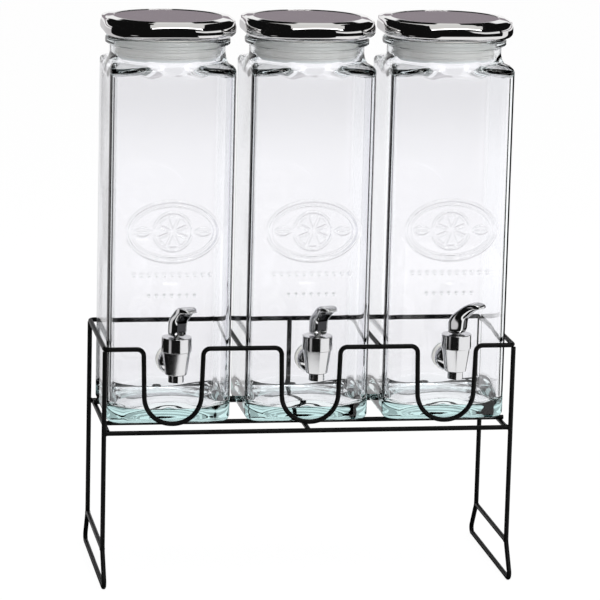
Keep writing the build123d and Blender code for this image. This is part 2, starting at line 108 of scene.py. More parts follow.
class JarSettings(bpy.types.PropertyGroup):
    """Sizes of a glass jar."""

    corner: size(15, "Corner", "Radius of the upright outer corners")
    wall: size(4.5, "Wall", "Thickness of the glass")
    floor: size(12, "Floor", "Thickness of the base")
    heel: size(5, "Heel", "Rounding under the base")
    inner_heel: size(16, "Inner heel", "Rounding between the wall and the floor inside")
    heel_turn: number(2.6, "Heel turn", "How fast the inside turns round towards the floor")
    heel_arch: number(0.45, "Heel arch", "How much lower that rounding is at the corners", min=0, max=1)
    punt: size(6, "Punt", "Height of the hollow under the base")
    punt_radius: size(50, "Punt radius", "Radius of the hollow under the base")
    dome: size(3, "Dome", "Rise of the floor inside towards the middle")
    neck: size(54.5, "Neck", "Outer radius of the neck")
    neck_foot: size(339, "Neck foot", "Height of the neck's foot above the base")
    neck_round: size(2.5, "Neck rounding", "Rounding at the neck's foot")
    shoulder_fall: size(3.5, "Shoulder fall", "Drop of the shoulder from the neck to the corners")
    shoulder_round: size(4, "Shoulder rounding", "Rounding where the wall turns into the shoulder")
    ease: size(7, "Ease", "Height of the soft curve where the neck comes close to the wall")
    ease_reach: size(9, "Ease reach", "Width of the shoulder at which that curve ends")
    bead: size(59, "Bead", "Outer radius of the rolled bead at the rim")
    bead_height: size(8.5, "Bead height", "Height of the rolled bead")
    bead_slope: size(1.9, "Bead slope", "Height of the slope under the bead")
    bead_foot_round: size(0.8, "Bead foot", "Rounding where the neck meets the bead")
    bead_round: size(1.3, "Bead rounding", "Rounding of the bead's lower edge")
    rim_round: size(3, "Rim rounding", "Rounding of the bead's upper edge")
    bore_round: size(2, "Mouth rounding", "Rounding of the mouth's inner edge")
    tap_hole: size(8, "Tap hole", "Radius of the hole for the tap's shank")
    relief: size(1.4, "Relief", "Height of the moulded emblem")
    emblem_height: size(184, "Emblem height", "Middle of the moulded emblem above the base")


class LidSettings(bpy.types.PropertyGroup):
    """Sizes of a metal lid and its seal."""

    corner: size(46, "Corner", "Radius of the lid's corners")
    crown: size(8.5, "Crown", "Rounding of the rim's upper edge")
    roll: size(5.5, "Roll", "Rounding of the rim's lower edge")
    fall: size(1.6, "Fall", "Drop of the rim's top from the dish to the outside")
    rim: size(10.5, "Rim", "Width of the rim round the sunk top")
    dish_depth: size(0.6, "Dish depth", "Depth of the sunk round top")
    dish_round: size(0.9, "Dish rounding", "Rounding of the dish's edge")
    dish_foot: size(0.5, "Dish foot", "Rounding at the foot of the dish's edge")
    mouth: size(48, "Mouth", "Radius of the opening underneath")
    lip: size(0.4, "Lip", "Rounding of the edges of that opening")
    sheet: size(1.2, "Sheet", "Thickness of the metal")
    rib_count: IntProperty(name="Ribs", description="Ribs round the seal", default=3, min=1)
    rib: size(1.1, "Rib", "Radius of one rib of the seal")
    rib_stand: size(0.6, "Rib stand", "How far the ribs' middle lies outside the opening's radius")


class StandSettings(bpy.types.PropertyGroup):
    """Sizes of the wire stand."""

    weld: size(2.7, "Weld", "Radius of a weld bead at a butted end")


class TapSettings(bpy.types.PropertyGroup):
    """Sizes of a tap's lever."""

    neck_width: size(14, "Neck width", "Width of the lever's neck")
    paddle_width: size(17, "Paddle width", "Width of the lever's paddle")
    slot: size(5.6, "Slot", "Width of the fork over the stem")
    slot_top: size(3.3, "Slot top", "Top of the fork's slot above the pin")
    slot_length: size(40, "Slot length", "Length of the cut that makes the slot, past the lever")
    hollow: size(9.5, "Hollow", "Width of the hollow in the lever's front")


class FinishSettings(bpy.types.PropertyGroup):
    """Colours of the finishes."""

    coat: shade((0.0015, 0.0015, 0.0015), "Powder coat", "Black coat of the wire stand")
    coat_shine: shade((0.003, 0.003, 0.003), "Coat specks", "Paler specks in the black coat")
    chrome: shade((0.80, 0.80, 0.81), "Chrome", "Plating of the taps")
    # Painted shade: near-black colour on the hollow in each lever's front, standing in for the dark reflection and
    # shade in that recess
    hollow: shade((0.05, 0.05, 0.055), "Lever hollow", "Dull metal in the hollow of the levers")
    steel: shade((0.55, 0.55, 0.56), "Steel", "Pins, stems and springs of the taps")
    lid: shade((0.74, 0.73, 0.73), "Lid metal", "Mirror metal of the lids")
    silicone: shade((0.88, 0.865, 0.84), "Silicone", "Seals and washers")
    plug: shade((0.84, 0.83, 0.80), "Plug", "Plug inside the lid")
    nut: shade((0.75, 0.76, 0.77), "Nut", "Moulded nut behind the glass")
    glass: shade((0.970, 0.957, 0.975), "Glass", "Clear glass")
    tint: shade((0.34, 0.88, 0.85), "Tint", "Colour that thick glass turns to")
    tint_density: number(5.0, "Tint density", "How fast thick glass takes its tint", min=0)
    lamplight: shade((0.93, 0.95, 0.95), "Lamplight", "Lamps' light that one face of glass lets through")


class StageSettings(bpy.types.PropertyGroup):
    """Camera and studio."""

    place: FloatVectorProperty(
        name="Camera",
        description="Camera's place from the middle of the stand, on the floor",
        default=(-0.5412, -3.1559, 0.9250),
        subtype="TRANSLATION",
        size=3,
    )
    yaw: number(0.1697, "Yaw", "Camera's turn to the right", subtype="ANGLE")
    pitch: number(0.2049, "Pitch", "Camera's tilt down", subtype="ANGLE")
    roll: number(0.0253, "Roll", "Camera's roll", subtype="ANGLE")
    lens: number(204.52, "Lens", "Focal length in millimetres")
    white: shade((1.0, 1.0, 1.0), "Backdrop", "Plain backdrop and floor")
    matte: shade((0.82, 0.82, 0.82), "Floor", "Floor where it takes light and shadow")
    dark: shade((0.006, 0.006, 0.006), "Room", "Dark room in front and to the left, as metal shows it")
    ceiling: shade((0.30, 0.265, 0.29), "Ceiling", "Dim space above the backdrop, as metal shows it")
    grey: shade((0.66, 0.65, 0.66), "Rear wall", "Grey wall at the rear left, as metal shows it")
    skylight: shade((0.82, 0.82, 0.80), "Skylight", "Pale opening overhead, as metal shows it")
    softbox: number(5.0, "Softbox", "Brightness of the softbox high in front, as metal shows it", min=0)
    pool: number(1.19, "Pool", "Brightness of the lit floor behind the jars, as glass shows it")
    bent_share: number(0.5, "Room in glass", "Share of the dark room in what glass bends", min=0, max=1)
    bright_reach: size(1800, "Bright reach", "Reach of the white floor at the front right, as metal shows it")
    # Painted shadow: the floor under the stand is dark, but only in what metal mirrors
    underside: size(300, "Underside", "Radius of the dark floor right under the stand, as metal shows it")
    clearing: size(500, "Clearing", "Radius of the white floor that metal shows near the stand")
    floor_radius: size(14000, "Floor radius", "Radius of the floor")
    glow: number(0.93, "Glow", "Share of plain white in the floor, beside its shadow")


class DispenserSettings(bpy.types.PropertyGroup):
    """Everything that the dispenser's operators read."""

    stand: PointerProperty(type=StandSettings)
    jar: PointerProperty(type=JarSettings)
    lid: PointerProperty(type=LidSettings)
    tap: PointerProperty(type=TapSettings)
    finish: PointerProperty(type=FinishSettings)
    stage: PointerProperty(type=StageSettings)


# Shader and geometry nodes
def socket_value(node, **values):
    """Sets a node's inputs by their names, with spaces written as underscores."""
    for name, value in values.items():
        node.inputs[name.replace("_", " ")].default_value = value


def join(tree, *links):
    """Links nodes in a tree; each link is a node, its output, the next node and its input."""
    for start, leaving, end, entering in links:
        tree.links.new(start.outputs[leaving], end.inputs[entering])


def maths(tree, operation, *values):
    """A chain of one kind of sum; each value is a number or a socket."""
    result = values[0]
    for value in values[1:]:
        node = tree.nodes.new("ShaderNodeMath")
        node.operation = operation
        for place, given in zip(node.inputs, (result, value)):
            if isinstance(given, bpy.types.NodeSocket):
                tree.links.new(given, place)
            else:
                place.default_value = given
        result = node.outputs["Value"]
    return result


def times(tree, *values):
    """The product of numbers and sockets."""
    return maths(tree, "MULTIPLY", *values)


def largest(tree, *values):
    """The largest of numbers and sockets."""
    return maths(tree, "MAXIMUM", *values)


def blend(tree, factor, first, second):
    """A colour mix; each colour is a plain colour or a socket."""
    node = tree.nodes.new("ShaderNodeMix")
    node.data_type = "RGBA"
    tree.links.new(factor, node.inputs["Factor"])
    for label, value in (("A", first), ("B", second)):
        if isinstance(value, bpy.types.NodeSocket):
            tree.links.new(value, node.inputs[label])
        else:
            node.inputs[label].default_value = (*value, 1.0)
    return node.outputs["Result"]


def ramp(tree, value, low, high):
    """Rises softly from 0 to 1 as a socket's value goes from low to high."""
    node = tree.nodes.new("ShaderNodeMapRange")
    node.interpolation_type = "SMOOTHSTEP"
    socket_value(node, From_Min=low, From_Max=high)
    tree.links.new(value, node.inputs["Value"])
    return node.outputs["Result"]


# Materials: roughness between two limits, and fineness of the grain, of each finish
GRAIN = {
    "powder_coat": (0.28, 0.42, 900),
    "tap_chrome": (0.02, 0.06, 220),
    "lever_chrome": (0.02, 0.06, 220),
    "lid_mirror": (0.015, 0.05, 60),
    "valve_steel": (0.2, 0.35, 500),
    "clear_silicone": (0.3, 0.45, 300),
    "plug_plastic": (0.2, 0.3, 200),
    "nut_plastic": (0.3, 0.4, 250),
    "clear_glass": (0.0, 0.006, 30),
}
GRAIN_DEPTH, RIPPLE_DEPTH = 0.2 * MM, 1.2 * MM
SPECK_SPREAD = 6


def surface_grain():
    """Node group: fine uneven grain on a surface, as a value between two limits and as a height."""
    name = "Surface Grain"
    if name in bpy.data.node_groups:
        return bpy.data.node_groups[name]
    group = bpy.data.node_groups.new(name, "ShaderNodeTree")
    face = group.interface
    for label, start in (("Scale", 40.0), ("Low", 0.0), ("High", 1.0), ("Detail", 3.0)):
        socket = face.new_socket(label, in_out="INPUT", socket_type="NodeSocketFloat")
        socket.default_value = start
    face.new_socket("Value", in_out="OUTPUT", socket_type="NodeSocketFloat")
    face.new_socket("Height", in_out="OUTPUT", socket_type="NodeSocketFloat")
    add = group.nodes.new
    entry, leave = add("NodeGroupInput"), add("NodeGroupOutput")
    where = add("ShaderNodeTexCoord")
    noise = add("ShaderNodeTexNoise")
    limits = add("ShaderNodeMapRange")
    socket_value(limits, From_Min=0.3, From_Max=0.7)
    join(
        group,
        (where, "Object", noise, "Vector"),
        (entry, "Scale", noise, "Scale"),
        (entry, "Detail", noise, "Detail"),
        (noise, "Fac", limits, "Value"),
        (entry, "Low", limits, "To Min"),
        (entry, "High", limits, "To Max"),
        (limits, "Result", leave, "Value"),
        (noise, "Fac", leave, "Height"),
    )
    return group


def grain_node(tree, **values):
    """The shared grain, placed in a material with its own values."""
    grain = tree.nodes.new("ShaderNodeGroup")
    grain.node_tree = surface_grain()
    socket_value(grain, **values)
    return grain


def finish_material(name, colour, bump=0.0, specks=None, **shader_values):
    """A material whose roughness, bump and specks come from the shared grain."""
    material = bpy.data.materials.new(name)
    material.use_nodes = True
    tree = material.node_tree
    shader = tree.nodes["Principled BSDF"]
    socket_value(shader, Base_Color=(*colour, 1.0), **shader_values)
    low, high, scale = GRAIN[name]
    grain = grain_node(tree, Scale=scale, Low=low, High=high)
    join(tree, (grain, "Value", shader, "Roughness"))
    if bump:
        relief = tree.nodes.new("ShaderNodeBump")
        socket_value(relief, Strength=bump, Distance=GRAIN_DEPTH)
        join(tree, (grain, "Height", relief, "Height"), (relief, "Normal", shader, "Normal"))
    if specks is not None:
        spread_out = grain_node(tree, Scale=scale / SPECK_SPREAD, Low=0.0, High=1.0)
        mixed = blend(tree, spread_out.outputs["Value"], colour, specks)
        tree.links.new(mixed, shader.inputs["Base Color"])
    return material


def lever_material_painted_shade(finish):
    """Chrome with painted shade: dark where the mesh is marked as hollow."""
    tree = finish_material("lever_chrome", finish.chrome, Metallic=1.0).node_tree
    mark = tree.nodes.new("ShaderNodeAttribute")
    mark.attribute_name = "hollow"
    mixed = blend(tree, mark.outputs["Fac"], finish.chrome, finish.hollow)
    tree.links.new(mixed, tree.nodes["Principled BSDF"].inputs["Base Color"])


def glass_material(finish):
    """Clear pressed glass, faintly green where it is thick, rippled, and open to the lamps' light."""
    tree = finish_material("clear_glass", finish.glass, Transmission_Weight=1.0, IOR=1.5).node_tree
    add = tree.nodes.new
    shader, leave = tree.nodes["Principled BSDF"], tree.nodes["Material Output"]
    ripple = grain_node(tree, Scale=9.0, Detail=1.0)
    relief = add("ShaderNodeBump")
    socket_value(relief, Strength=0.25, Distance=RIPPLE_DEPTH)
    tint = add("ShaderNodeVolumeAbsorption")
    socket_value(tint, Color=(*finish.tint, 1.0), Density=finish.tint_density)
    path = add("ShaderNodeLightPath")
    open_way = add("ShaderNodeBsdfTransparent")
    socket_value(open_way, Color=(*finish.lamplight, 1.0))
    mix = add("ShaderNodeMixShader")
    join(
        tree,
        (ripple, "Height", relief, "Height"),
        (relief, "Normal", shader, "Normal"),
        (tint, "Volume", leave, "Volume"),
        (path, "Is Shadow Ray", mix, 0),
        (shader, 0, mix, 1),
        (open_way, 0, mix, 2),
        (mix, 0, leave, "Surface"),
    )


def finishes():
    """Every material of the dispenser, made once."""
    if "powder_coat" in bpy.data.materials:
        return bpy.data.materials
    finish = bpy.context.scene.dispenser.finish
    finish_material("powder_coat", finish.coat, bump=0.35, specks=finish.coat_shine, Specular_IOR_Level=0.1)
    finish_material("tap_chrome", finish.chrome, Metallic=1.0)
    lever_material_painted_shade(finish)
    finish_material("lid_mirror", finish.lid, Metallic=1.0)
    finish_material("valve_steel", finish.steel, Metallic=1.0)
    finish_material("clear_silicone", finish.silicone, bump=0.1, Transmission_Weight=0.2, IOR=1.41)
    finish_material("plug_plastic", finish.plug, bump=0.05, Transmission_Weight=0.1, IOR=1.49)
    finish_material("nut_plastic", finish.nut, bump=0.1)
    glass_material(finish)
    return bpy.data.materials


def dress(node, material):
    """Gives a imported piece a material."""
    mesh = nodes[node].data
    mesh.materials.clear()
    mesh.materials.append(finishes()[material])


# Meshes
def add_object(name, data):
    """Puts a new object in the scene."""
    added = bpy.data.objects.new(name, data)
    bpy.context.scene.collection.objects.link(added)
    return added


def built_mesh(name, operation, **values):
    """A mesh that one mesh operation makes."""
    mesh = bpy.data.meshes.new(name)
    shape = bmesh.new()
    operation(shape, **values)
    shape.to_mesh(mesh)
    shape.free()
    return mesh


def plain_mesh(source):
    """The mesh that an object and its modifiers make."""
    graph = bpy.context.evaluated_depsgraph_get()
    graph.update()
    return bpy.data.meshes.new_from_object(source.evaluated_get(graph), depsgraph=graph)


def add_piece(name, place, loops, material, body, slot, *stands_for):
    """A closed skin over loops of points at a place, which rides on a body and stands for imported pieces."""
    vertices, faces = skin(loops)
    mesh = bpy.data.meshes.new(name)
    mesh.from_pydata([tuple(place @ v) for v in vertices], [], faces)
    shape = bmesh.new()
    shape.from_mesh(mesh)
    bmesh.ops.recalc_face_normals(shape, faces=shape.faces)
    shape.to_mesh(mesh)
    shape.free()
    return place_piece(name, mesh, material, body, slot, *stands_for)


def place_piece(name, mesh, material, body, slot, *stands_for):
    """Puts a finished mesh in the scene as a piece."""
    mesh.shade_smooth()
    mesh.materials.clear()
    mesh.materials.append(finishes()[material])
    piece = add_object(name, mesh)
    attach(piece, body)
    if stands_for:
        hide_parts(*stands_for)
    return piece


def skin(loops):
    """Vertices and faces of a skin over loops of points; a loop of one point is a pole."""
    vertices, faces, starts = [], [], []
    for loop in loops:
        starts.append(len(vertices))
        vertices += loop
    for loop, start, after, next_start in zip(loops, starts, loops[1:], starts[1:]):
        count = max(len(loop), len(after))
        for i in range(count):
            j = (i + 1) % count
            if len(loop) == 1:
                faces.append((start, next_start + i, next_start + j))
            elif len(after) == 1:
                faces.append((start + i, next_start, start + j))
            else:
                faces.append((start + i, next_start + i, next_start + j, start + j))
    return vertices, faces


def across(lines):
    """Loops of points across upright lines of (place, height)."""
    return [[Vector((*line[k][0], line[k][1])) for line in lines] for k in range(len(lines[0]))]


def square_columns(flat, sides, corner_steps):
    """Points round a square with round corners: (core point, outward direction), from the front's left."""
    columns = []
    for side, places in enumerate(sides):
        turn = Matrix.Rotation(math.pi / 2 * side, 2)
        out = turn @ Vector((0, -1))
        columns += [(turn @ Vector((x, -flat)), out) for x in places]
        for angle in spread(0, math.pi / 2, corner_steps)[1:-1]:
            columns.append((turn @ Vector((flat, -flat)), Matrix.Rotation(angle, 2) @ out))
    return columns


# Share of a profile's straight run that a bend may take, and that lies between a bend and a guard point
LONGEST_BEND, BEND_GUARD = 0.49, 0.06


def bend(corner, before, after, radius, steps):
    """Points of a round bend at a corner of a profile."""
    to_before, to_after = (before - corner).normalized(), (after - corner).normalized()
    half = to_before.angle(to_after) / 2
    shorter = LONGEST_BEND * min((before - corner).length, (after - corner).length)
    reach = min(radius / math.tan(half), shorter)
    radius = reach * math.tan(half)
    start = corner + to_before * reach
    centre = corner + (to_before + to_after).normalized() * (radius / math.sin(half))
    arm = start - centre
    side = (to_before * -1 - arm.normalized() * (to_before * -1).dot(arm.normalized())).normalized()
    sweep = math.pi - 2 * half
    return [
        centre + arm * math.cos(sweep * i / steps) + side * radius * math.sin(sweep * i / steps)
        for i in range(steps + 1)
    ]


def rounded_profile(corners, steps=6):
    """A profile of (radius, height, rounding) corners with round bends, ends kept."""
    points = [Vector((r, h)) for r, h, _ in corners]
    line = [points[0]]
    for i in range(1, len(corners) - 1):
        rounding = corners[i][2]
        if rounding:
            arc = bend(points[i], points[i - 1], points[i + 1], rounding, steps)
            line.append(arc[0].lerp(points[i - 1], BEND_GUARD))
            line += arc
            line.append(arc[-1].lerp(points[i + 1], BEND_GUARD))
        else:
            line.append(points[i])
    return line + [points[-1]]


def spread(low, high, count):
    """Evenly spaced numbers, both ends included."""
    return [low + (high - low) * i / count for i in range(count + 1)]


def smooth(low, high, value):
    """Rises softly from 0 to 1 between two values."""
    t = min(1.0, max(0.0, (value - low) / (high - low)))
    return t * t * (3 - 2 * t)


def ridge(distance, half_width):
    """A rounded ridge, 1 at its crest."""
    t = abs(distance) / half_width
    return (1 - t * t) ** 2 if t < 1 else 0.0


def cap(distance, rise, radius):
    """Height of a shallow round cap at a distance from its middle."""
    return rise * max(0.0, 1 - (distance / radius) ** 2)


# Moulded emblem, in millimetres from its middle, with heights as shares of the relief
OVAL = (43.0, 28.5)
OVAL_LINE, INNER_LINE, INNER_LINE_HEIGHT, LINE_GAP = 2.0, 1.2, 0.65, 4.6
SLICE_RADIUS, SLICE_SEGMENTS, RIND, SLICE_HEIGHT = 18.0, 8, 1.7, 0.8
SEGMENT_SIDE, SEGMENT_CORE, SEGMENT_END = (0.5, 1.9), (2.0, 4.0), (2.6, 4.4)
LEAF_PLACE, LEAF_LENGTH, LEAF_WIDTH, LEAF_EDGE, LEAF_HEIGHT = 28.5, 9.5, 5.2, 1.8, 0.8
LEAF_GROOVE, GROOVE_FLOOR = 1.1, 0.45
BEAD_PITCH, BEAD_HEIGHT = 7.2, 0.9
BEAD_ROWS = ((41.0, 11, 2.6), (61.0, 7, 2.1))
EMBLEM_LOW, EMBLEM_HIGH, EMBLEM_REACH, EMBLEM_STEP, EMBLEM_MARGIN = -66.0, 32.0, 46.4, 0.8, 8


def oval_distance(x, z, half_x, half_z, least_slope=1e-3):
    """Distance from an oval's line, about, negative inside."""
    inside = (x / half_x) ** 2 + (z / half_z) ** 2 - 1
    slope = 2 * math.hypot(x / half_x**2, z / half_z**2)
    return inside / max(slope, least_slope)


def citrus_slice(x, z):
    """A round fruit slice: rind and segments."""
    r = math.hypot(x, z)
    if r > SLICE_RADIUS + RIND:
        return 0.0
    part = 2 * math.pi / SLICE_SEGMENTS
    turn = (math.atan2(z, x) + part / 2) % part - part / 2
    to_side = r * math.sin(part / 2 - abs(turn))
    pulp = smooth(*SEGMENT_SIDE, to_side) * smooth(*SEGMENT_CORE, r) * smooth(*SEGMENT_END, SLICE_RADIUS - r)
    return max(ridge(r - SLICE_RADIUS, RIND), SLICE_HEIGHT * pulp)


def leaf(x, z):
    """A leaf along x with a groove down its middle."""
    if abs(x) >= LEAF_LENGTH:
        return 0.0
    edge = LEAF_WIDTH * (1 - (x / LEAF_LENGTH) ** 2)
    groove = GROOVE_FLOOR + (1 - GROOVE_FLOOR) * smooth(0.0, LEAF_GROOVE, abs(z))
    return LEAF_HEIGHT * smooth(edge, edge - LEAF_EDGE, abs(z)) * groove


def bead_row(x, z, count, radius):
    """A row of round beads."""
    last = (count - 1) / 2
    place = max(-last, min(last, round(x / BEAD_PITCH + last) - last))
    return BEAD_HEIGHT * ridge(math.hypot(x - place * BEAD_PITCH, z), radius)


def emblem(x, z):
    """Height of the moulded emblem, 0 to 1: a fruit slice between leaves in an oval, over rows of beads."""
    frame_line = oval_distance(x, z, *OVAL)
    return max(
        ridge(frame_line, OVAL_LINE),
        INNER_LINE_HEIGHT * ridge(frame_line + LINE_GAP, INNER_LINE),
        citrus_slice(x, z),
        leaf(abs(x) - LEAF_PLACE, z),
        *(bead_row(x, z + drop, count, radius) for drop, count, radius in BEAD_ROWS),
    )


# Jar: how finely its skin is divided, and how far the first points lie from a bend
CORNER_STEPS, SIDE_STEPS, SIDE_SHARE, SIDE_GUARD, FRONT_GUARD = 14, 8, 0.8, 1.2 * MM, 0.5 * MM
BASE_STEPS = (0.1, 0.22, 0.34, 0.46, 0.58, 0.7, 0.82, 0.92)
HEEL_STEPS, INNER_HEEL_STEPS, WALL_STEPS, UPPER_STEPS = 6, 12, 14, 8
LOW_ROWS = (20 * MM, 100 * MM, 6)
WALL_GUARD, SHOULDER_GUARD, MOUTH_GUARD = 1.5 * MM, 10 * MM, 4 * MM
# Largest share of the inside's half width that its corners may round off, and a front wall's direction
ROUNDEST, FACING_FRONT = 0.85, -0.999
# The drill's length, in wall thicknesses, and the angle above which glass and cast metal have edges
DRILL_LENGTH, GLASS_EDGE, CAST_EDGE = 2.2, math.radians(60), math.radians(50)


def jar_columns(half, corner):
    """Columns round a jar, close together along the emblem in front."""
    flat = half - corner
    front = spread(-EMBLEM_REACH * MM, EMBLEM_REACH * MM, round(2 * EMBLEM_REACH / EMBLEM_STEP))
    front = [x for x in front if abs(x) < flat - FRONT_GUARD]
    inner = spread(-SIDE_SHARE * flat, SIDE_SHARE * flat, SIDE_STEPS)
    plain = [-flat, -flat + SIDE_GUARD, *inner, flat - SIDE_GUARD, flat]
    return square_columns(flat, ([-flat, *front, flat], plain, plain, plain), CORNER_STEPS)


def jar_rows(jar):
    """Heights of the points up the outer wall, close together along the emblem."""
    emblem_steps = round((EMBLEM_HIGH - EMBLEM_LOW) / EMBLEM_STEP)
    upper_low = jar.emblem_height + (EMBLEM_HIGH + EMBLEM_MARGIN) * MM
    upper_high = jar.neck_foot - jar.shoulder_fall - jar.ease - SHOULDER_GUARD
    return [
        jar.heel + WALL_GUARD,
        *spread(*LOW_ROWS),
        *(jar.emblem_height + z for z in spread(EMBLEM_LOW * MM, EMBLEM_HIGH * MM, emblem_steps)),
        *spread(upper_low, upper_high, UPPER_STEPS),
    ]


def outer_wall(jar, core, out, rows):
    """A line of points from under the base up one column of the outer wall."""
    foot = core + out * jar.corner
    line = [(core * s, cap(core.length * s, jar.punt, jar.punt_radius)) for s in BASE_STEPS]
    for turn in spread(0, math.pi / 2, HEEL_STEPS):
        inset = jar.heel * (1 - math.sin(turn))
        line.append((core + out * (jar.corner - inset), jar.heel * (1 - math.cos(turn))))
    in_front = out.y < FACING_FRONT
    for z in rows:
        raised = jar.relief * emblem(foot.x / MM, (z - jar.emblem_height) / MM) if in_front else 0
        line.append((foot + out * raised, z))
    return line


def shoulder_and_neck(jar, half, height, foot, inside, low):
    """A line of points from the outer wall over the shoulder, the neck and the bead to the wall inside."""
    reach = (half - jar.corner) * math.sqrt(2) + jar.corner
    slope = jar.shoulder_fall / (reach - jar.neck)
    bore = jar.neck - jar.wall
    bead_low = height - jar.bead_height
    inner_foot = jar.neck_foot - jar.wall
    wide, narrow = foot.length, inside.length
    least = half - jar.neck
    ease = jar.ease * smooth(least + jar.ease_reach, least, wide - jar.neck)
    neck_round, wall_round = jar.neck_round + 2 * ease, jar.shoulder_round + 2 * ease
    outer = rounded_profile([
        (wide, low, 0),
        (wide, jar.neck_foot - slope * (wide - jar.neck) - ease, wall_round),
        (jar.neck, jar.neck_foot + ease / 2, neck_round),
        (jar.neck, bead_low, jar.bead_foot_round),
        (jar.bead, bead_low + jar.bead_slope, jar.bead_round),
        (jar.bead, height, jar.rim_round),
        (bore, height, jar.bore_round),
        (bore, inner_foot, 0),
    ])
    inner = rounded_profile([
        (bore, height - MOUTH_GUARD, 0),
        (bore, inner_foot + ease / 2, neck_round),
        (narrow, inner_foot - slope * (narrow - bore) - ease, wall_round),
        (narrow, inner_foot - 3 * jar.shoulder_fall - jar.ease, 0),
    ])
    outward, inward = foot.normalized(), inside.normalized()
    return [(outward * r, h) for r, h in outer[1:-1]] + [(inward * r, h) for r, h in inner]


def inner_wall(jar, half, core, out, inside):
    """A line of points down one column inside, round the heel and over the floor to near its middle."""
    flat = half - jar.corner
    top = jar.neck_foot - jar.wall - 4 * jar.shoulder_fall - jar.ease
    line = [(inside, z) for z in spread(top, jar.floor + jar.inner_heel + WALL_GUARD, WALL_STEPS)]
    off_middle = min(abs(core.x), abs(core.y)) / flat
    heel = jar.inner_heel * (1 - jar.heel_arch * off_middle**2)
    for turn in spread(0, math.pi / 2, INNER_HEEL_STEPS):
        inset = heel * (1 - math.cos(turn))
        reach = half - jar.wall - inset
        turned = min(jar.corner - jar.wall + jar.heel_turn * inset, ROUNDEST * reach)
        edge = core * ((reach - turned) / flat) + out * turned
        line.append((edge, jar.floor + heel * (1 - math.sin(turn))))
    floor_reach = half - jar.wall - jar.inner_heel
    for s in BASE_STEPS[::-1]:
        line.append((edge * s, jar.floor + cap(edge.length * s, jar.dome, floor_reach)))
    return line


def jar_loops(jar, half, height):
    """Loops of the jar's whole skin, from under its base to the middle of its floor, about its axis."""
    rows = jar_rows(jar)
    lines = []
    for core, out in jar_columns(half, jar.corner):
        foot = core + out * jar.corner
        inside = core + out * (jar.corner - jar.wall)
        lines.append([
            *outer_wall(jar, core, out, rows),
            *shoulder_and_neck(jar, half, height, foot, inside, rows[-1]),
            *inner_wall(jar, half, core, out, inside),
        ])
    return [[Vector((0, 0, jar.punt))], *across(lines), [Vector((0, 0, jar.floor + jar.dome))]]


def drill(piece, centre, radius, length):
    """Cuts a round hole along Y through a piece's mesh."""
    lying = Matrix.Translation(centre) @ Matrix.Rotation(math.pi / 2, 4, "X")
    cut(piece, built_mesh(
        "drill", bmesh.ops.create_cone, cap_ends=True, segments=64,
        radius1=radius, radius2=radius, depth=length, matrix=lying,
    ))


def cut(piece, cutter_mesh):
    """Takes a closed mesh out of a piece's mesh."""
    cutter = add_object("cutter", cutter_mesh)
    modifier = piece.modifiers.new("cut", "BOOLEAN")
    modifier.operation = "DIFFERENCE"
    modifier.solver = "EXACT"
    modifier.object = cutter
    settle(piece)
    bpy.data.objects.remove(cutter)


def settle(piece):
    """Turns a piece and its modifiers into a plain mesh."""
    mesh = plain_mesh(piece)
    piece.modifiers.clear()
    old = piece.data
    piece.data = mesh
    bpy.data.meshes.remove(old)
    mesh.name = piece.name


def smooth_to_edges(mesh, angle):
    """Smooth shading, with edges where faces meet at more than an angle."""
    mesh.shade_smooth()
    mesh.set_sharp_from_angle(angle=angle)


# Node trees for what repeats
def node_tree(name, **inputs):
    """An empty geometry tree with named inputs between its geometry and its material."""
    tree = bpy.data.node_groups.new(name, "GeometryNodeTree")
    face = tree.interface
    for label, kind in {"Geometry": "Geometry", **inputs, "Material": "Material"}.items():
        face.new_socket(label.replace("_", " "), in_out="INPUT", socket_type=f"NodeSocket{kind}")
    face.new_socket("Geometry", in_out="OUTPUT", socket_type="NodeSocketGeometry")
    return tree, tree.nodes.new("NodeGroupInput"), tree.nodes.new("NodeGroupOutput")


def plant(tree, entry, leave, shape, output):
    """Puts a shape on every point in a geometry tree, as one mesh with the tree's material."""
    place = tree.nodes.new("GeometryNodeInstanceOnPoints")
    whole = tree.nodes.new("GeometryNodeRealizeInstances")
    paint = tree.nodes.new("GeometryNodeSetMaterial")
    join(
        tree,
        (entry, "Geometry", place, "Points"),
        (shape, output, place, "Instance"),
        (place, "Instances", whole, "Geometry"),
        (whole, "Geometry", paint, "Geometry"),
        (entry, "Material", paint, "Material"),
        (paint, "Geometry", leave, "Geometry"),
    )


def grow(name, tree, start_mesh, **values):
    """The plain mesh that a geometry tree makes from a start mesh."""
    holder = add_object(name, start_mesh)
    modifier = holder.modifiers.new("grow", "NODES")
    modifier.node_group = tree
    for item in tree.interface.items_tree:
        key = item.name.replace(" ", "_")
        if item.in_out == "INPUT" and key in values:
            modifier[item.identifier] = values[key]
    mesh = plain_mesh(holder)
    bpy.data.objects.remove(holder)
    return mesh


def weld_tree():
    """Geometry tree: a small round bead of weld at every point."""
    tree, entry, leave = node_tree("Weld Beads", Radius="Float")
    ball = tree.nodes.new("GeometryNodeMeshUVSphere")
    socket_value(ball, Segments=16, Rings=10)
    join(tree, (entry, "Radius", ball, "Radius"))
    plant(tree, entry, leave, ball, "Mesh")
    return tree


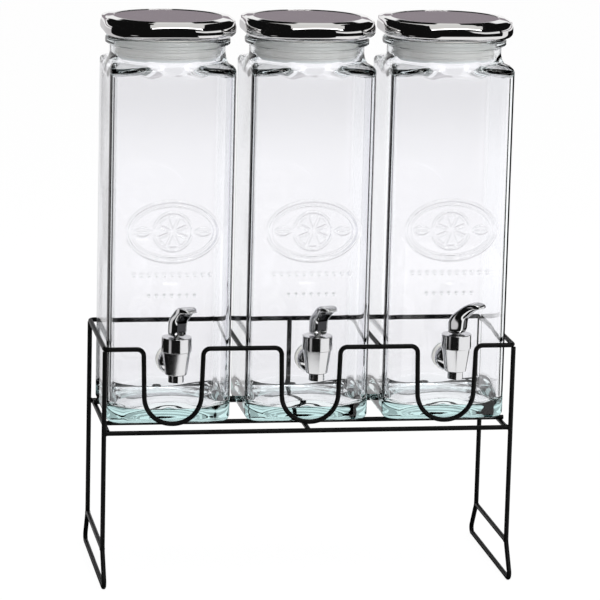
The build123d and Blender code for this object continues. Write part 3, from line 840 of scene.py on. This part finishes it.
def rib_tree():
    """Geometry tree: round ribs one above the other, standing on every point."""
    tree, entry, leave = node_tree(
        "Seal Ribs", Ring_Radius="Float", Rib_Radius="Float", Pitch="Float", Count="Int"
    )
    add = tree.nodes.new
    ring = add("GeometryNodeCurvePrimitiveCircle")
    socket_value(ring, Resolution=128)
    section = add("GeometryNodeCurvePrimitiveCircle")
    socket_value(section, Resolution=12)
    tube = add("GeometryNodeCurveToMesh")
    step = add("ShaderNodeCombineXYZ")
    stack = add("GeometryNodeMeshLine")
    pile = add("GeometryNodeInstanceOnPoints")
    join(
        tree,
        (entry, "Ring Radius", ring, "Radius"),
        (entry, "Rib Radius", section, "Radius"),
        (ring, "Curve", tube, "Curve"),
        (section, "Curve", tube, "Profile Curve"),
        (entry, "Pitch", step, "Z"),
        (step, "Vector", stack, "Offset"),
        (entry, "Count", stack, "Count"),
        (stack, "Mesh", pile, "Points"),
        (tube, "Mesh", pile, "Instance"),
    )
    plant(tree, entry, leave, pile, "Instances")
    return tree


def point_mesh(name, points):
    """A mesh of loose points."""
    mesh = bpy.data.meshes.new(name)
    mesh.from_pydata([tuple(p) for p in points], [], [])
    return mesh


class DISPENSER_OT_stand(bpy.types.Operator):
    """Black powder-coated wires with a bead of weld at every butted end"""

    bl_idname = "dispenser.stand"
    bl_label = "Wire stand"

    def execute(self, context):
        stand = context.scene.dispenser.stand
        ends = []
        for wire in STAND_WIRES:
            dress(wire, "powder_coat")
            if wire.endswith(("rail", "tie", "divider")) and wire != "top_rail":
                low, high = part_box(wire)
                run = max(range(3), key=lambda k: high[k] - low[k])
                for end in (low, high):
                    point = (low + high) / 2
                    point[run] = end[run]
                    ends.append(point)
        mesh = grow(
            "stand_weld_beads", weld_tree(), point_mesh("weld_points", ends),
            Radius=stand.weld, Material=finishes()["powder_coat"],
        )
        place_piece("stand_weld_beads", mesh, "powder_coat", "stand", "stand_wire")
        return {"FINISHED"}


class DISPENSER_OT_jars(bpy.types.Operator):
    """Square glass jars with a round neck, a rolled bead and a moulded emblem"""

    bl_idname = "dispenser.jars"
    bl_label = "Glass jars"

    def execute(self, context):
        jar = context.scene.dispenser.jar
        for name in JARS:
            place, half, height = footing(f"{name}_jar")
            piece = add_piece(
                f"{name}_glass", place, jar_loops(jar, half, height),
                "clear_glass", f"{name}_jar_unit", "jar_glass", f"{name}_jar",
            )
            hole = middle(f"{name}_outer_washer")
            hole.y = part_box(f"{name}_jar")[0].y + jar.wall / 2
            drill(piece, hole, jar.tap_hole, DRILL_LENGTH * jar.wall)
            smooth_to_edges(piece.data, GLASS_EDGE)
        return {"FINISHED"}


# Lid: how finely its skin is divided, and where the dish's first loop lies
LID_SIDE_STEPS, LID_CORNER_STEPS, LID_BEND_STEPS, DISH_CENTRE = 6, 30, 10, 0.3


def lid_loops(lid, half, height):
    """Loops of a lid's skin, from the middle of its top round the rim to the edge underneath and back."""
    flat = half - lid.corner
    dish = half - lid.rim
    dish_floor = height - lid.dish_depth
    lines = []
    for core, out in square_columns(flat, [spread(-flat, flat, LID_SIDE_STEPS)] * 4, LID_CORNER_STEPS):
        edge = core + out * lid.corner
        outward = edge.normalized()
        profile = rounded_profile([
            (dish * DISH_CENTRE, dish_floor, 0),
            (dish, dish_floor, lid.dish_foot),
            (dish, height, lid.dish_round),
            (edge.length, height - lid.fall, lid.crown),
            (edge.length, 0.0, lid.roll),
            (lid.mouth, 0.0, lid.lip),
            (lid.mouth, lid.sheet, lid.lip),
            (edge.length - lid.sheet, lid.sheet, lid.roll - lid.sheet),
            (edge.length - lid.sheet, dish_floor - lid.sheet, 0),
            (dish * DISH_CENTRE, dish_floor - lid.sheet, 0),
        ], steps=LID_BEND_STEPS)
        lines.append([(outward * r, h) for r, h in profile])
    return [[Vector((0, 0, dish_floor))], *across(lines), [Vector((0, 0, dish_floor - lid.sheet))]]


class DISPENSER_OT_lids(bpy.types.Operator):
    """Polished metal lids with a rolled rim and a sunk top, on plugs with ribbed seals"""

    bl_idname = "dispenser.lids"
    bl_label = "Lids"

    def execute(self, context):
        lid = context.scene.dispenser.lid
        ribs = rib_tree()
        for name in JARS:
            place, half, height = footing(f"{name}_lid_shell")
            add_piece(
                f"{name}_lid_metal", place, lid_loops(lid, half, height),
                "lid_mirror", f"{name}_lid", "lid_metal", f"{name}_lid_shell",
            )
            dress(f"{name}_lid_plug", "plug_plastic")
            dress(f"{name}_lid_seal", "clear_silicone")
            seal_low, seal_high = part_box(f"{name}_lid_seal")
            pitch = (seal_high.z - seal_low.z) / (lid.rib_count + 0.5)
            foot = Vector((*place.translation.xy, seal_low.z + pitch / 2))
            mesh = grow(
                f"{name}_seal_ribs", ribs, point_mesh("seal_foot", [foot]),
                Ring_Radius=lid.mouth + lid.rib_stand, Rib_Radius=lid.rib, Pitch=pitch, Count=lid.rib_count,
                Material=finishes()["clear_silicone"],
            )
            place_piece(f"{name}_seal_ribs", mesh, "clear_silicone", f"{name}_lid", "silicone")
        return {"FINISHED"}


# Lever, in millimetres forward of the pin and above the bonnet
LEVER_SECTIONS = (
    # back point, front point, width as a share of neck to paddle
    ((-5.6, 0.7), (6.0, 0.9), -0.35),
    ((-6.8, 1.6), (7.8, 2.6), 0.0),
    ((-7.0, 5.0), (9.0, 6.0), 0.0),
    ((-7.0, 10.0), (9.2, 10.4), 0.0),
    ((-6.6, 14.2), (9.6, 13.6), 0.0),
    ((-3.0, 18.8), (10.6, 16.6), 0.05),
    ((3.0, 23.8), (13.4, 19.0), 0.3),
    ((9.0, 28.6), (16.6, 22.4), 0.7),
    ((15.0, 31.6), (20.6, 25.2), 1.0),
    ((22.0, 31.4), (24.8, 26.6), 0.95),
    ((27.4, 29.8), (27.6, 27.2), -0.5),
)
HOLLOW_SIDE = ((3.5, 5.0), (22.5, 5.0), (22.5, 28.6), (13.0, 28.8), (3.5, 21.2))
SECTION_POINTS, SECTION_POWER = 20, 0.42


def lever_section(back, front, width):
    """A rounded rectangle between a back point and a front point of the lever's side view."""
    centre, half = (back + front) / 2, (back - front) / 2
    loop = []
    for i in range(SECTION_POINTS):
        angle = 2 * math.pi * (i + 0.5) / SECTION_POINTS
        c, s = math.cos(angle), math.sin(angle)
        across_lever = math.copysign(abs(c) ** SECTION_POWER, c) * width / 2
        along = math.copysign(abs(s) ** SECTION_POWER, s)
        point = centre + half * along
        loop.append(Vector((across_lever, -point.x, point.y)))
    return loop


def lever_loops(tap):
    """Loops of a lever that faces -Y, with the pin axis's foot on the bonnet at the origin."""
    loops = []
    for back, front, share in LEVER_SECTIONS:
        width = tap.neck_width + (tap.paddle_width - tap.neck_width) * max(share, 0.0)
        if share < 0:
            width *= 1 + share / 2
        loops.append(lever_section(Vector(back) * MM, Vector(front) * MM, width))
    first = sum(loops[0], Vector()) / len(loops[0])
    last = sum(loops[-1], Vector()) / len(loops[-1])
    return [[first], *loops, [last]]


def hollow_block(width, place):
    """The block that cuts the hollow in the front of a lever at a place."""
    count = len(HOLLOW_SIDE)
    vertices = [
        (x, -forward * MM, above * MM) for x in (-width / 2, width / 2) for forward, above in HOLLOW_SIDE
    ]
    faces = [(i, (i + 1) % count, count + (i + 1) % count, count + i) for i in range(count)]
    ends = [tuple(range(count))[::-1], tuple(range(count, 2 * count))]
    block = bpy.data.meshes.new("hollow")
    block.from_pydata(vertices, [], faces + ends)
    block.transform(place)
    return block


def mark_hollow(mesh, to_lever, width, slack=0.05 * MM):
    """Marks the faces inside a lever's hollow, for the painted shade in it."""
    corners = [Vector(corner) * MM for corner in HOLLOW_SIDE]
    mark = mesh.attributes.new("hollow", "FLOAT", "FACE")
    for face in mesh.polygons:
        at = to_lever @ face.center
        side = Vector((-at.y, at.z))
        within = abs(at.x) < width / 2 + slack and all(
            (after - corner).normalized().cross(side - corner) > -slack
            for corner, after in zip(corners, corners[1:] + corners[:1])
        )
        mark.data[face.index].value = float(within)


def cast_lever(name, tap):
    """A chrome lever with a fork over the stem and a hollow in its front."""
    pin, axis = hinge(f"{name}_lever_tilt")
    bonnet_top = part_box(f"{name}_tap_bonnet")[1].z
    heading = Matrix.Rotation(math.atan2(axis.y, axis.x), 4, "Z")
    place = Matrix.Translation((pin.x, pin.y, bonnet_top)) @ heading
    lever = add_piece(
        f"{name}_cast_lever", place, lever_loops(tap),
        "lever_chrome", f"{name}_lever", "tap_chrome", f"{name}_tap_lever",
    )
    round_off = lever.modifiers.new("round", "SUBSURF")
    round_off.levels = round_off.render_levels = 2
    settle(lever)
    slot = Matrix.Diagonal((tap.slot, tap.slot_length, 2 * (pin.z - bonnet_top + tap.slot_top), 1))
    cut(lever, built_mesh("slot", bmesh.ops.create_cube, size=1.0, matrix=place @ slot))
    cut(lever, hollow_block(tap.hollow, place))
    mark_hollow(lever.data, place.inverted(), tap.hollow)
    smooth_to_edges(lever.data, CAST_EDGE)


def spring_coil(name):
    """The valve's spring, as a steel copy of the imported one that rides on the jar unit."""
    spring = f"{name}_valve_spring"
    lift = next(j for j in behaviour["joints"] if j["name"] == f"{name}_valve_lift")
    coil = place_piece(
        f"{name}_spring_coil", nodes[spring].data.copy(), "valve_steel",
        f"{name}_jar_unit", "valve_steel", spring,
    )
    top = middle(spring)
    top.z = lift["deforming_nodes"][0]["fixed_end_z_m"]
    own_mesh(coil)


TAP_FINISHES = {
    "tap_body": "tap_chrome",
    "tap_bonnet": "tap_chrome",
    "lever_pin": "valve_steel",
    "valve_stem": "valve_steel",
    "valve_seat": "clear_silicone",
    "outer_washer": "clear_silicone",
    "inner_washer": "clear_silicone",
    "shank_nut": "nut_plastic",
}


class DISPENSER_OT_taps(bpy.types.Operator):
    """Chrome taps with cast levers, and what holds them behind the glass"""

    bl_idname = "dispenser.taps"
    bl_label = "Taps"

    def execute(self, context):
        tap = context.scene.dispenser.tap
        for name in JARS:
            for part, material in TAP_FINISHES.items():
                dress(f"{name}_{part}", material)
            spring_coil(name)
            cast_lever(name, tap)
        return {"FINISHED"}


# Studio: directions in degrees from the front to the right
ROOM_SECTOR, BRIGHT_SECTOR = (-121.0, 14.5), (14.5, 80.0)
EDGE_SECTOR, REAR_SECTOR = (112.0, 160.0), (-180.0, -121.0)
HAZE_SECTOR, HAZE_SOFT = (-121.0, 75.0), 45.0
# Dark strips that glass shows at its sides, in degrees from the Y axis
GLASS_STRIP = (60.0, 76.0)
# Distances on the floor from its middle, in metres
HAZE_REACH, DEEP_ROOM = (0.1, 0.7), (0.65, 1.0)
POOL_NEAR, POOL_FAR = (0.85, 1.5), (3.2, 2.2)
CARD_PLACE, CARD_RADIUS, CARD_CORE = (-1.04, -0.68, 0.0), 0.24, 0.144
# Edges of what metal mirrors, as parts of a direction's unit vector
CEILING_FOOT, CEILING_TOP, WALL_TOP = (0.06, 0.09), (0.135, 0.155), (0.225, 0.24)
FRONT_EDGE, BRIGHT_TOP = (0.05, -0.1), (0.15, 0.3)
SKYLIGHT_AXIS, SKYLIGHT_SPREAD, SKYLIGHT_LEAST = (0.155, 0.97), 0.18, 0.045
SKYLIGHT_FOOT, SKYLIGHT_END = (0.335, 0.35), (-0.8, -0.7)
SOFTBOX, SOFTBOX_EDGE, SOFTBOX_FOOT = (-0.72, -0.57), 0.02, 0.4
# Limits for a ray: before its first bounce off a dull surface, and up to the eight faces of two jars
FIRST_BOUNCE, MOST_FACES = 0.5, 8.5
# Name, place, width, height and power of each lamp, and where they point
LAMPS = (
    ("top_softbox", (0.1, -0.3, 1.9), 1.6, 1.2, 26),
    ("right_softbox", (1.7, -1.3, 0.9), 1.0, 1.4, 26),
    ("left_fill", (-1.6, -1.6, 1.2), 0.5, 1.2, 14),
)
LAMP_AIM = (0.0, 0.0, 0.28)
SENSOR_WIDTH, CAMERA_REACH, FLOOR_SIDES = 36, 100, 96


def sector(tree, x, y, low, high, soft=1.0):
    """1 where the direction (x, y), as degrees from the front to the right, lies between two angles."""
    turn = maths(tree, "ARCTAN2", x, times(tree, y, -1.0))
    return times(
        tree,
        ramp(tree, turn, math.radians(low - soft), math.radians(low)),
        ramp(tree, turn, math.radians(high), math.radians(high - soft)),
    )


def side_strip(tree, x, y, low, high):
    """1 where the direction (x, y) lies between two angles from the Y axis, on all four sides."""
    turn = maths(tree, "ABSOLUTE", maths(tree, "ARCTAN2", x, y), 0.0)
    fold = maths(tree, "PINGPONG", turn, math.pi / 2)
    return times(
        tree,
        maths(tree, "GREATER_THAN", fold, math.radians(low)),
        maths(tree, "LESS_THAN", fold, math.radians(high)),
    )


def parts_of(tree, where):
    """The X, Y and Z of a place or a direction."""
    split = tree.nodes.new("ShaderNodeSeparateXYZ")
    tree.links.new(where, split.inputs["Vector"])
    return [split.outputs[axis] for axis in "XYZ"]


def distance_from(tree, where, point):
    """Distance of a place from a fixed point."""
    node = tree.nodes.new("ShaderNodeVectorMath")
    node.operation = "DISTANCE"
    node.inputs[1].default_value = point
    tree.links.new(where, node.inputs[0])
    return node.outputs["Value"]


def mirror_rays(tree, light):
    """1 for rays that a surface mirrors, which leaves out those that glass bends."""
    straight = maths(tree, "SUBTRACT", 1.0, light.outputs["Is Transmission Ray"])
    return times(tree, light.outputs["Is Glossy Ray"], straight)


def bent_rays(tree, light):
    """1 for rays that one or two jars bend, unless they come from a lit surface behind the glass."""
    unlit = maths(tree, "LESS_THAN", light.outputs["Diffuse Depth"], FIRST_BOUNCE)
    few = maths(tree, "LESS_THAN", light.outputs["Transmission Depth"], MOST_FACES)
    return times(tree, light.outputs["Is Transmission Ray"], unlit, few)


def floor_material(stage):
    """White floor with a shadow; metal shows a dark room in front on it, and glass dark strips aside."""
    material = bpy.data.materials.new("pale_floor")
    material.use_nodes = True
    tree = material.node_tree
    add, link = tree.nodes.new, tree.links.new
    tree.nodes.remove(tree.nodes["Principled BSDF"])
    light = add("ShaderNodeLightPath")
    where = add("ShaderNodeNewGeometry").outputs["Position"]
    x, y, _ = parts_of(tree, where)
    distance = distance_from(tree, where, (0.0, 0.0, 0.0))
    mirrored, bent = mirror_rays(tree, light), bent_rays(tree, light)
    away = maths(tree, "GREATER_THAN", distance, stage.clearing)
    in_front = maths(tree, "LESS_THAN", y, 0.0)
    far = times(tree, maths(tree, "GREATER_THAN", distance, stage.bright_reach), in_front)
    room = largest(tree, sector(tree, x, y, *ROOM_SECTOR), sector(tree, x, y, *EDGE_SECTOR), far)
    # Painted shadow under the stand, seen only in metal's reflections
    under = maths(tree, "LESS_THAN", distance, stage.underside)
    room = times(tree, largest(tree, times(tree, room, away), under), mirrored)
    deep = largest(tree, ramp(tree, distance, *DEEP_ROOM), stage.bent_share)
    haze = sector(tree, x, y, *HAZE_SECTOR, soft=HAZE_SOFT)
    haze = times(tree, haze, ramp(tree, distance, *HAZE_REACH), bent, deep)
    strip = times(tree, side_strip(tree, x, y, *GLASS_STRIP), bent, away)
    dim = largest(tree, room, haze, strip)
    rear = times(tree, sector(tree, x, y, *REAR_SECTOR), mirrored, away)
    pool = times(tree, ramp(tree, y, *POOL_NEAR), ramp(tree, y, *POOL_FAR), bent)
    plain = blend(tree, rear, stage.white, stage.grey)
    plain = blend(tree, pool, plain, (stage.pool,) * 3)
    card = ramp(tree, distance_from(tree, where, CARD_PLACE), CARD_RADIUS, CARD_CORE)
    room_colour = blend(tree, times(tree, card, mirrored), stage.dark, stage.grey)
    matte = add("ShaderNodeBsdfDiffuse")
    socket_value(matte, Color=(*stage.matte, 1.0))
    glow = add("ShaderNodeEmission")
    link(blend(tree, dim, plain, room_colour), glow.inputs["Color"])
    shown = largest(tree, *(light.outputs[f"Is {kind} Ray"] for kind in ("Camera", "Glossy", "Transmission")))
    mix = add("ShaderNodeMixShader")
    link(times(tree, shown, largest(tree, dim, stage.glow)), mix.inputs[0])
    join(tree, (matte, 0, mix, 1), (glow, 0, mix, 2), (mix, 0, tree.nodes["Material Output"], "Surface"))
    return material


def studio_world(stage):
    """White; metal shows a dim ceiling behind, and a dark room in front and to the left."""
    world = bpy.data.worlds.new("studio")
    bpy.context.scene.world = world
    world.use_nodes = True
    tree = world.node_tree
    light = tree.nodes.new("ShaderNodeLightPath")
    x, y, z = parts_of(tree, tree.nodes.new("ShaderNodeTexCoord").outputs["Generated"])
    behind = blend(tree, ramp(tree, z, *CEILING_FOOT), stage.white, stage.ceiling)
    behind = blend(tree, ramp(tree, z, *CEILING_TOP), behind, stage.white)
    behind = blend(tree, ramp(tree, z, *WALL_TOP), behind, stage.dark)
    front = blend(tree, ramp(tree, y, *FRONT_EDGE), behind, stage.dark)
    right = blend(tree, ramp(tree, z, *BRIGHT_TOP), stage.white, stage.dark)
    seen = blend(tree, sector(tree, x, y, *BRIGHT_SECTOR), front, right)
    seen = blend(tree, sector(tree, x, y, *ROOM_SECTOR), seen, stage.dark)
    axis_x, axis_y = SKYLIGHT_AXIS
    aside = maths(tree, "ABSOLUTE", maths(tree, "SUBTRACT", x, axis_x), 0.0)
    half_width = times(tree, maths(tree, "SUBTRACT", axis_y, y), SKYLIGHT_SPREAD)
    inside = maths(tree, "LESS_THAN", aside, maths(tree, "ADD", half_width, SKYLIGHT_LEAST))
    opening = times(tree, inside, ramp(tree, z, *SKYLIGHT_FOOT), ramp(tree, y, *SKYLIGHT_END))
    seen = blend(tree, opening, seen, stage.skylight)
    near, far = SOFTBOX
    near_edge = ramp(tree, y, near, near + SOFTBOX_EDGE)
    far_edge = ramp(tree, y, far, far - SOFTBOX_EDGE)
    box = times(tree, inside, near_edge, far_edge, maths(tree, "GREATER_THAN", z, SOFTBOX_FOOT))
    seen = blend(tree, box, seen, (stage.softbox,) * 3)
    bent = times(tree, bent_rays(tree, light), stage.bent_share)
    shown = maths(tree, "ADD", mirror_rays(tree, light), bent)
    tree.links.new(blend(tree, shown, stage.white, seen), tree.nodes["Background"].inputs["Color"])


def soft_lamp(name, place, width, height, power):
    """A large soft lamp; metal and glass show the room and not the lamp."""
    lamp = bpy.data.lights.new(name, "AREA")
    lamp.shape = "RECTANGLE"
    lamp.size, lamp.size_y = width, height
    lamp.energy = power
    holder = add_object(name, lamp)
    facing = (Vector(place) - Vector(LAMP_AIM)).to_track_quat("Z", "Y").to_matrix().to_4x4()
    holder.matrix_world = Matrix.Translation(place) @ facing
    holder.visible_camera = False
    holder.visible_glossy = holder.visible_transmission = False


def studio_floor(stage):
    """A wide round floor under the stand."""
    mesh = built_mesh(
        "studio_floor", bmesh.ops.create_circle,
        cap_ends=True, segments=FLOOR_SIDES, radius=stage.floor_radius,
    )
    mesh.materials.append(floor_material(stage))
    floor = add_object("studio_floor", mesh)


def photo_camera(stage):
    """The camera, turned to the right, tilted down and rolled."""
    lens = bpy.data.cameras.new("photo_camera")
    lens.lens = stage.lens
    lens.sensor_width = SENSOR_WIDTH
    lens.clip_end = CAMERA_REACH
    camera = add_object("photo_camera", lens)
    turn = (
        Matrix.Rotation(-stage.yaw, 4, "Z")
        @ Matrix.Rotation(math.pi / 2 - stage.pitch, 4, "X")
        @ Matrix.Rotation(stage.roll, 4, "Z")
    )
    stand_middle = Vector((0, middle("top_rail").y, 0))
    camera.matrix_world = Matrix.Translation(Vector(stage.place) + stand_middle) @ turn
    bpy.context.scene.camera = camera


class DISPENSER_OT_studio(bpy.types.Operator):
    """Pale floor, soft lamps and the camera"""

    bl_idname = "dispenser.studio"
    bl_label = "Studio"

    def execute(self, context):
        stage = context.scene.dispenser.stage
        context.scene.view_settings.view_transform = "Standard"
        studio_floor(stage)
        studio_world(stage)
        for lamp in LAMPS:
            soft_lamp(*lamp)
        photo_camera(stage)
        return {"FINISHED"}


class DISPENSER_PT_panel(bpy.types.Panel):
    """Lists the dispenser's steps"""

    bl_idname = "DISPENSER_PT_panel"
    bl_label = "Drink dispenser"
    bl_space_type = "VIEW_3D"
    bl_region_type = "UI"
    bl_category = "Dispenser"

    def draw(self, context):
        for step in STEPS:
            self.layout.operator(step.bl_idname)


STEPS = (
    DISPENSER_OT_stand,
    DISPENSER_OT_jars,
    DISPENSER_OT_lids,
    DISPENSER_OT_taps,
    DISPENSER_OT_studio,
)
CLASSES = (
    StandSettings,
    JarSettings,
    LidSettings,
    TapSettings,
    FinishSettings,
    StageSettings,
    DispenserSettings,
    *STEPS,
    DISPENSER_PT_panel,
)


def register():
    for cls in CLASSES:
        bpy.utils.register_class(cls)
    bpy.types.Scene.dispenser = PointerProperty(type=DispenserSettings)


def unregister():
    del bpy.types.Scene.dispenser
    for cls in reversed(CLASSES):
        bpy.utils.unregister_class(cls)


def main():
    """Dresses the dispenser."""
    register()
    bpy.ops.dispenser.stand()
    bpy.ops.dispenser.jars()
    bpy.ops.dispenser.lids()
    bpy.ops.dispenser.taps()
    bpy.ops.dispenser.studio()


if __name__ == "__main__":
    main()
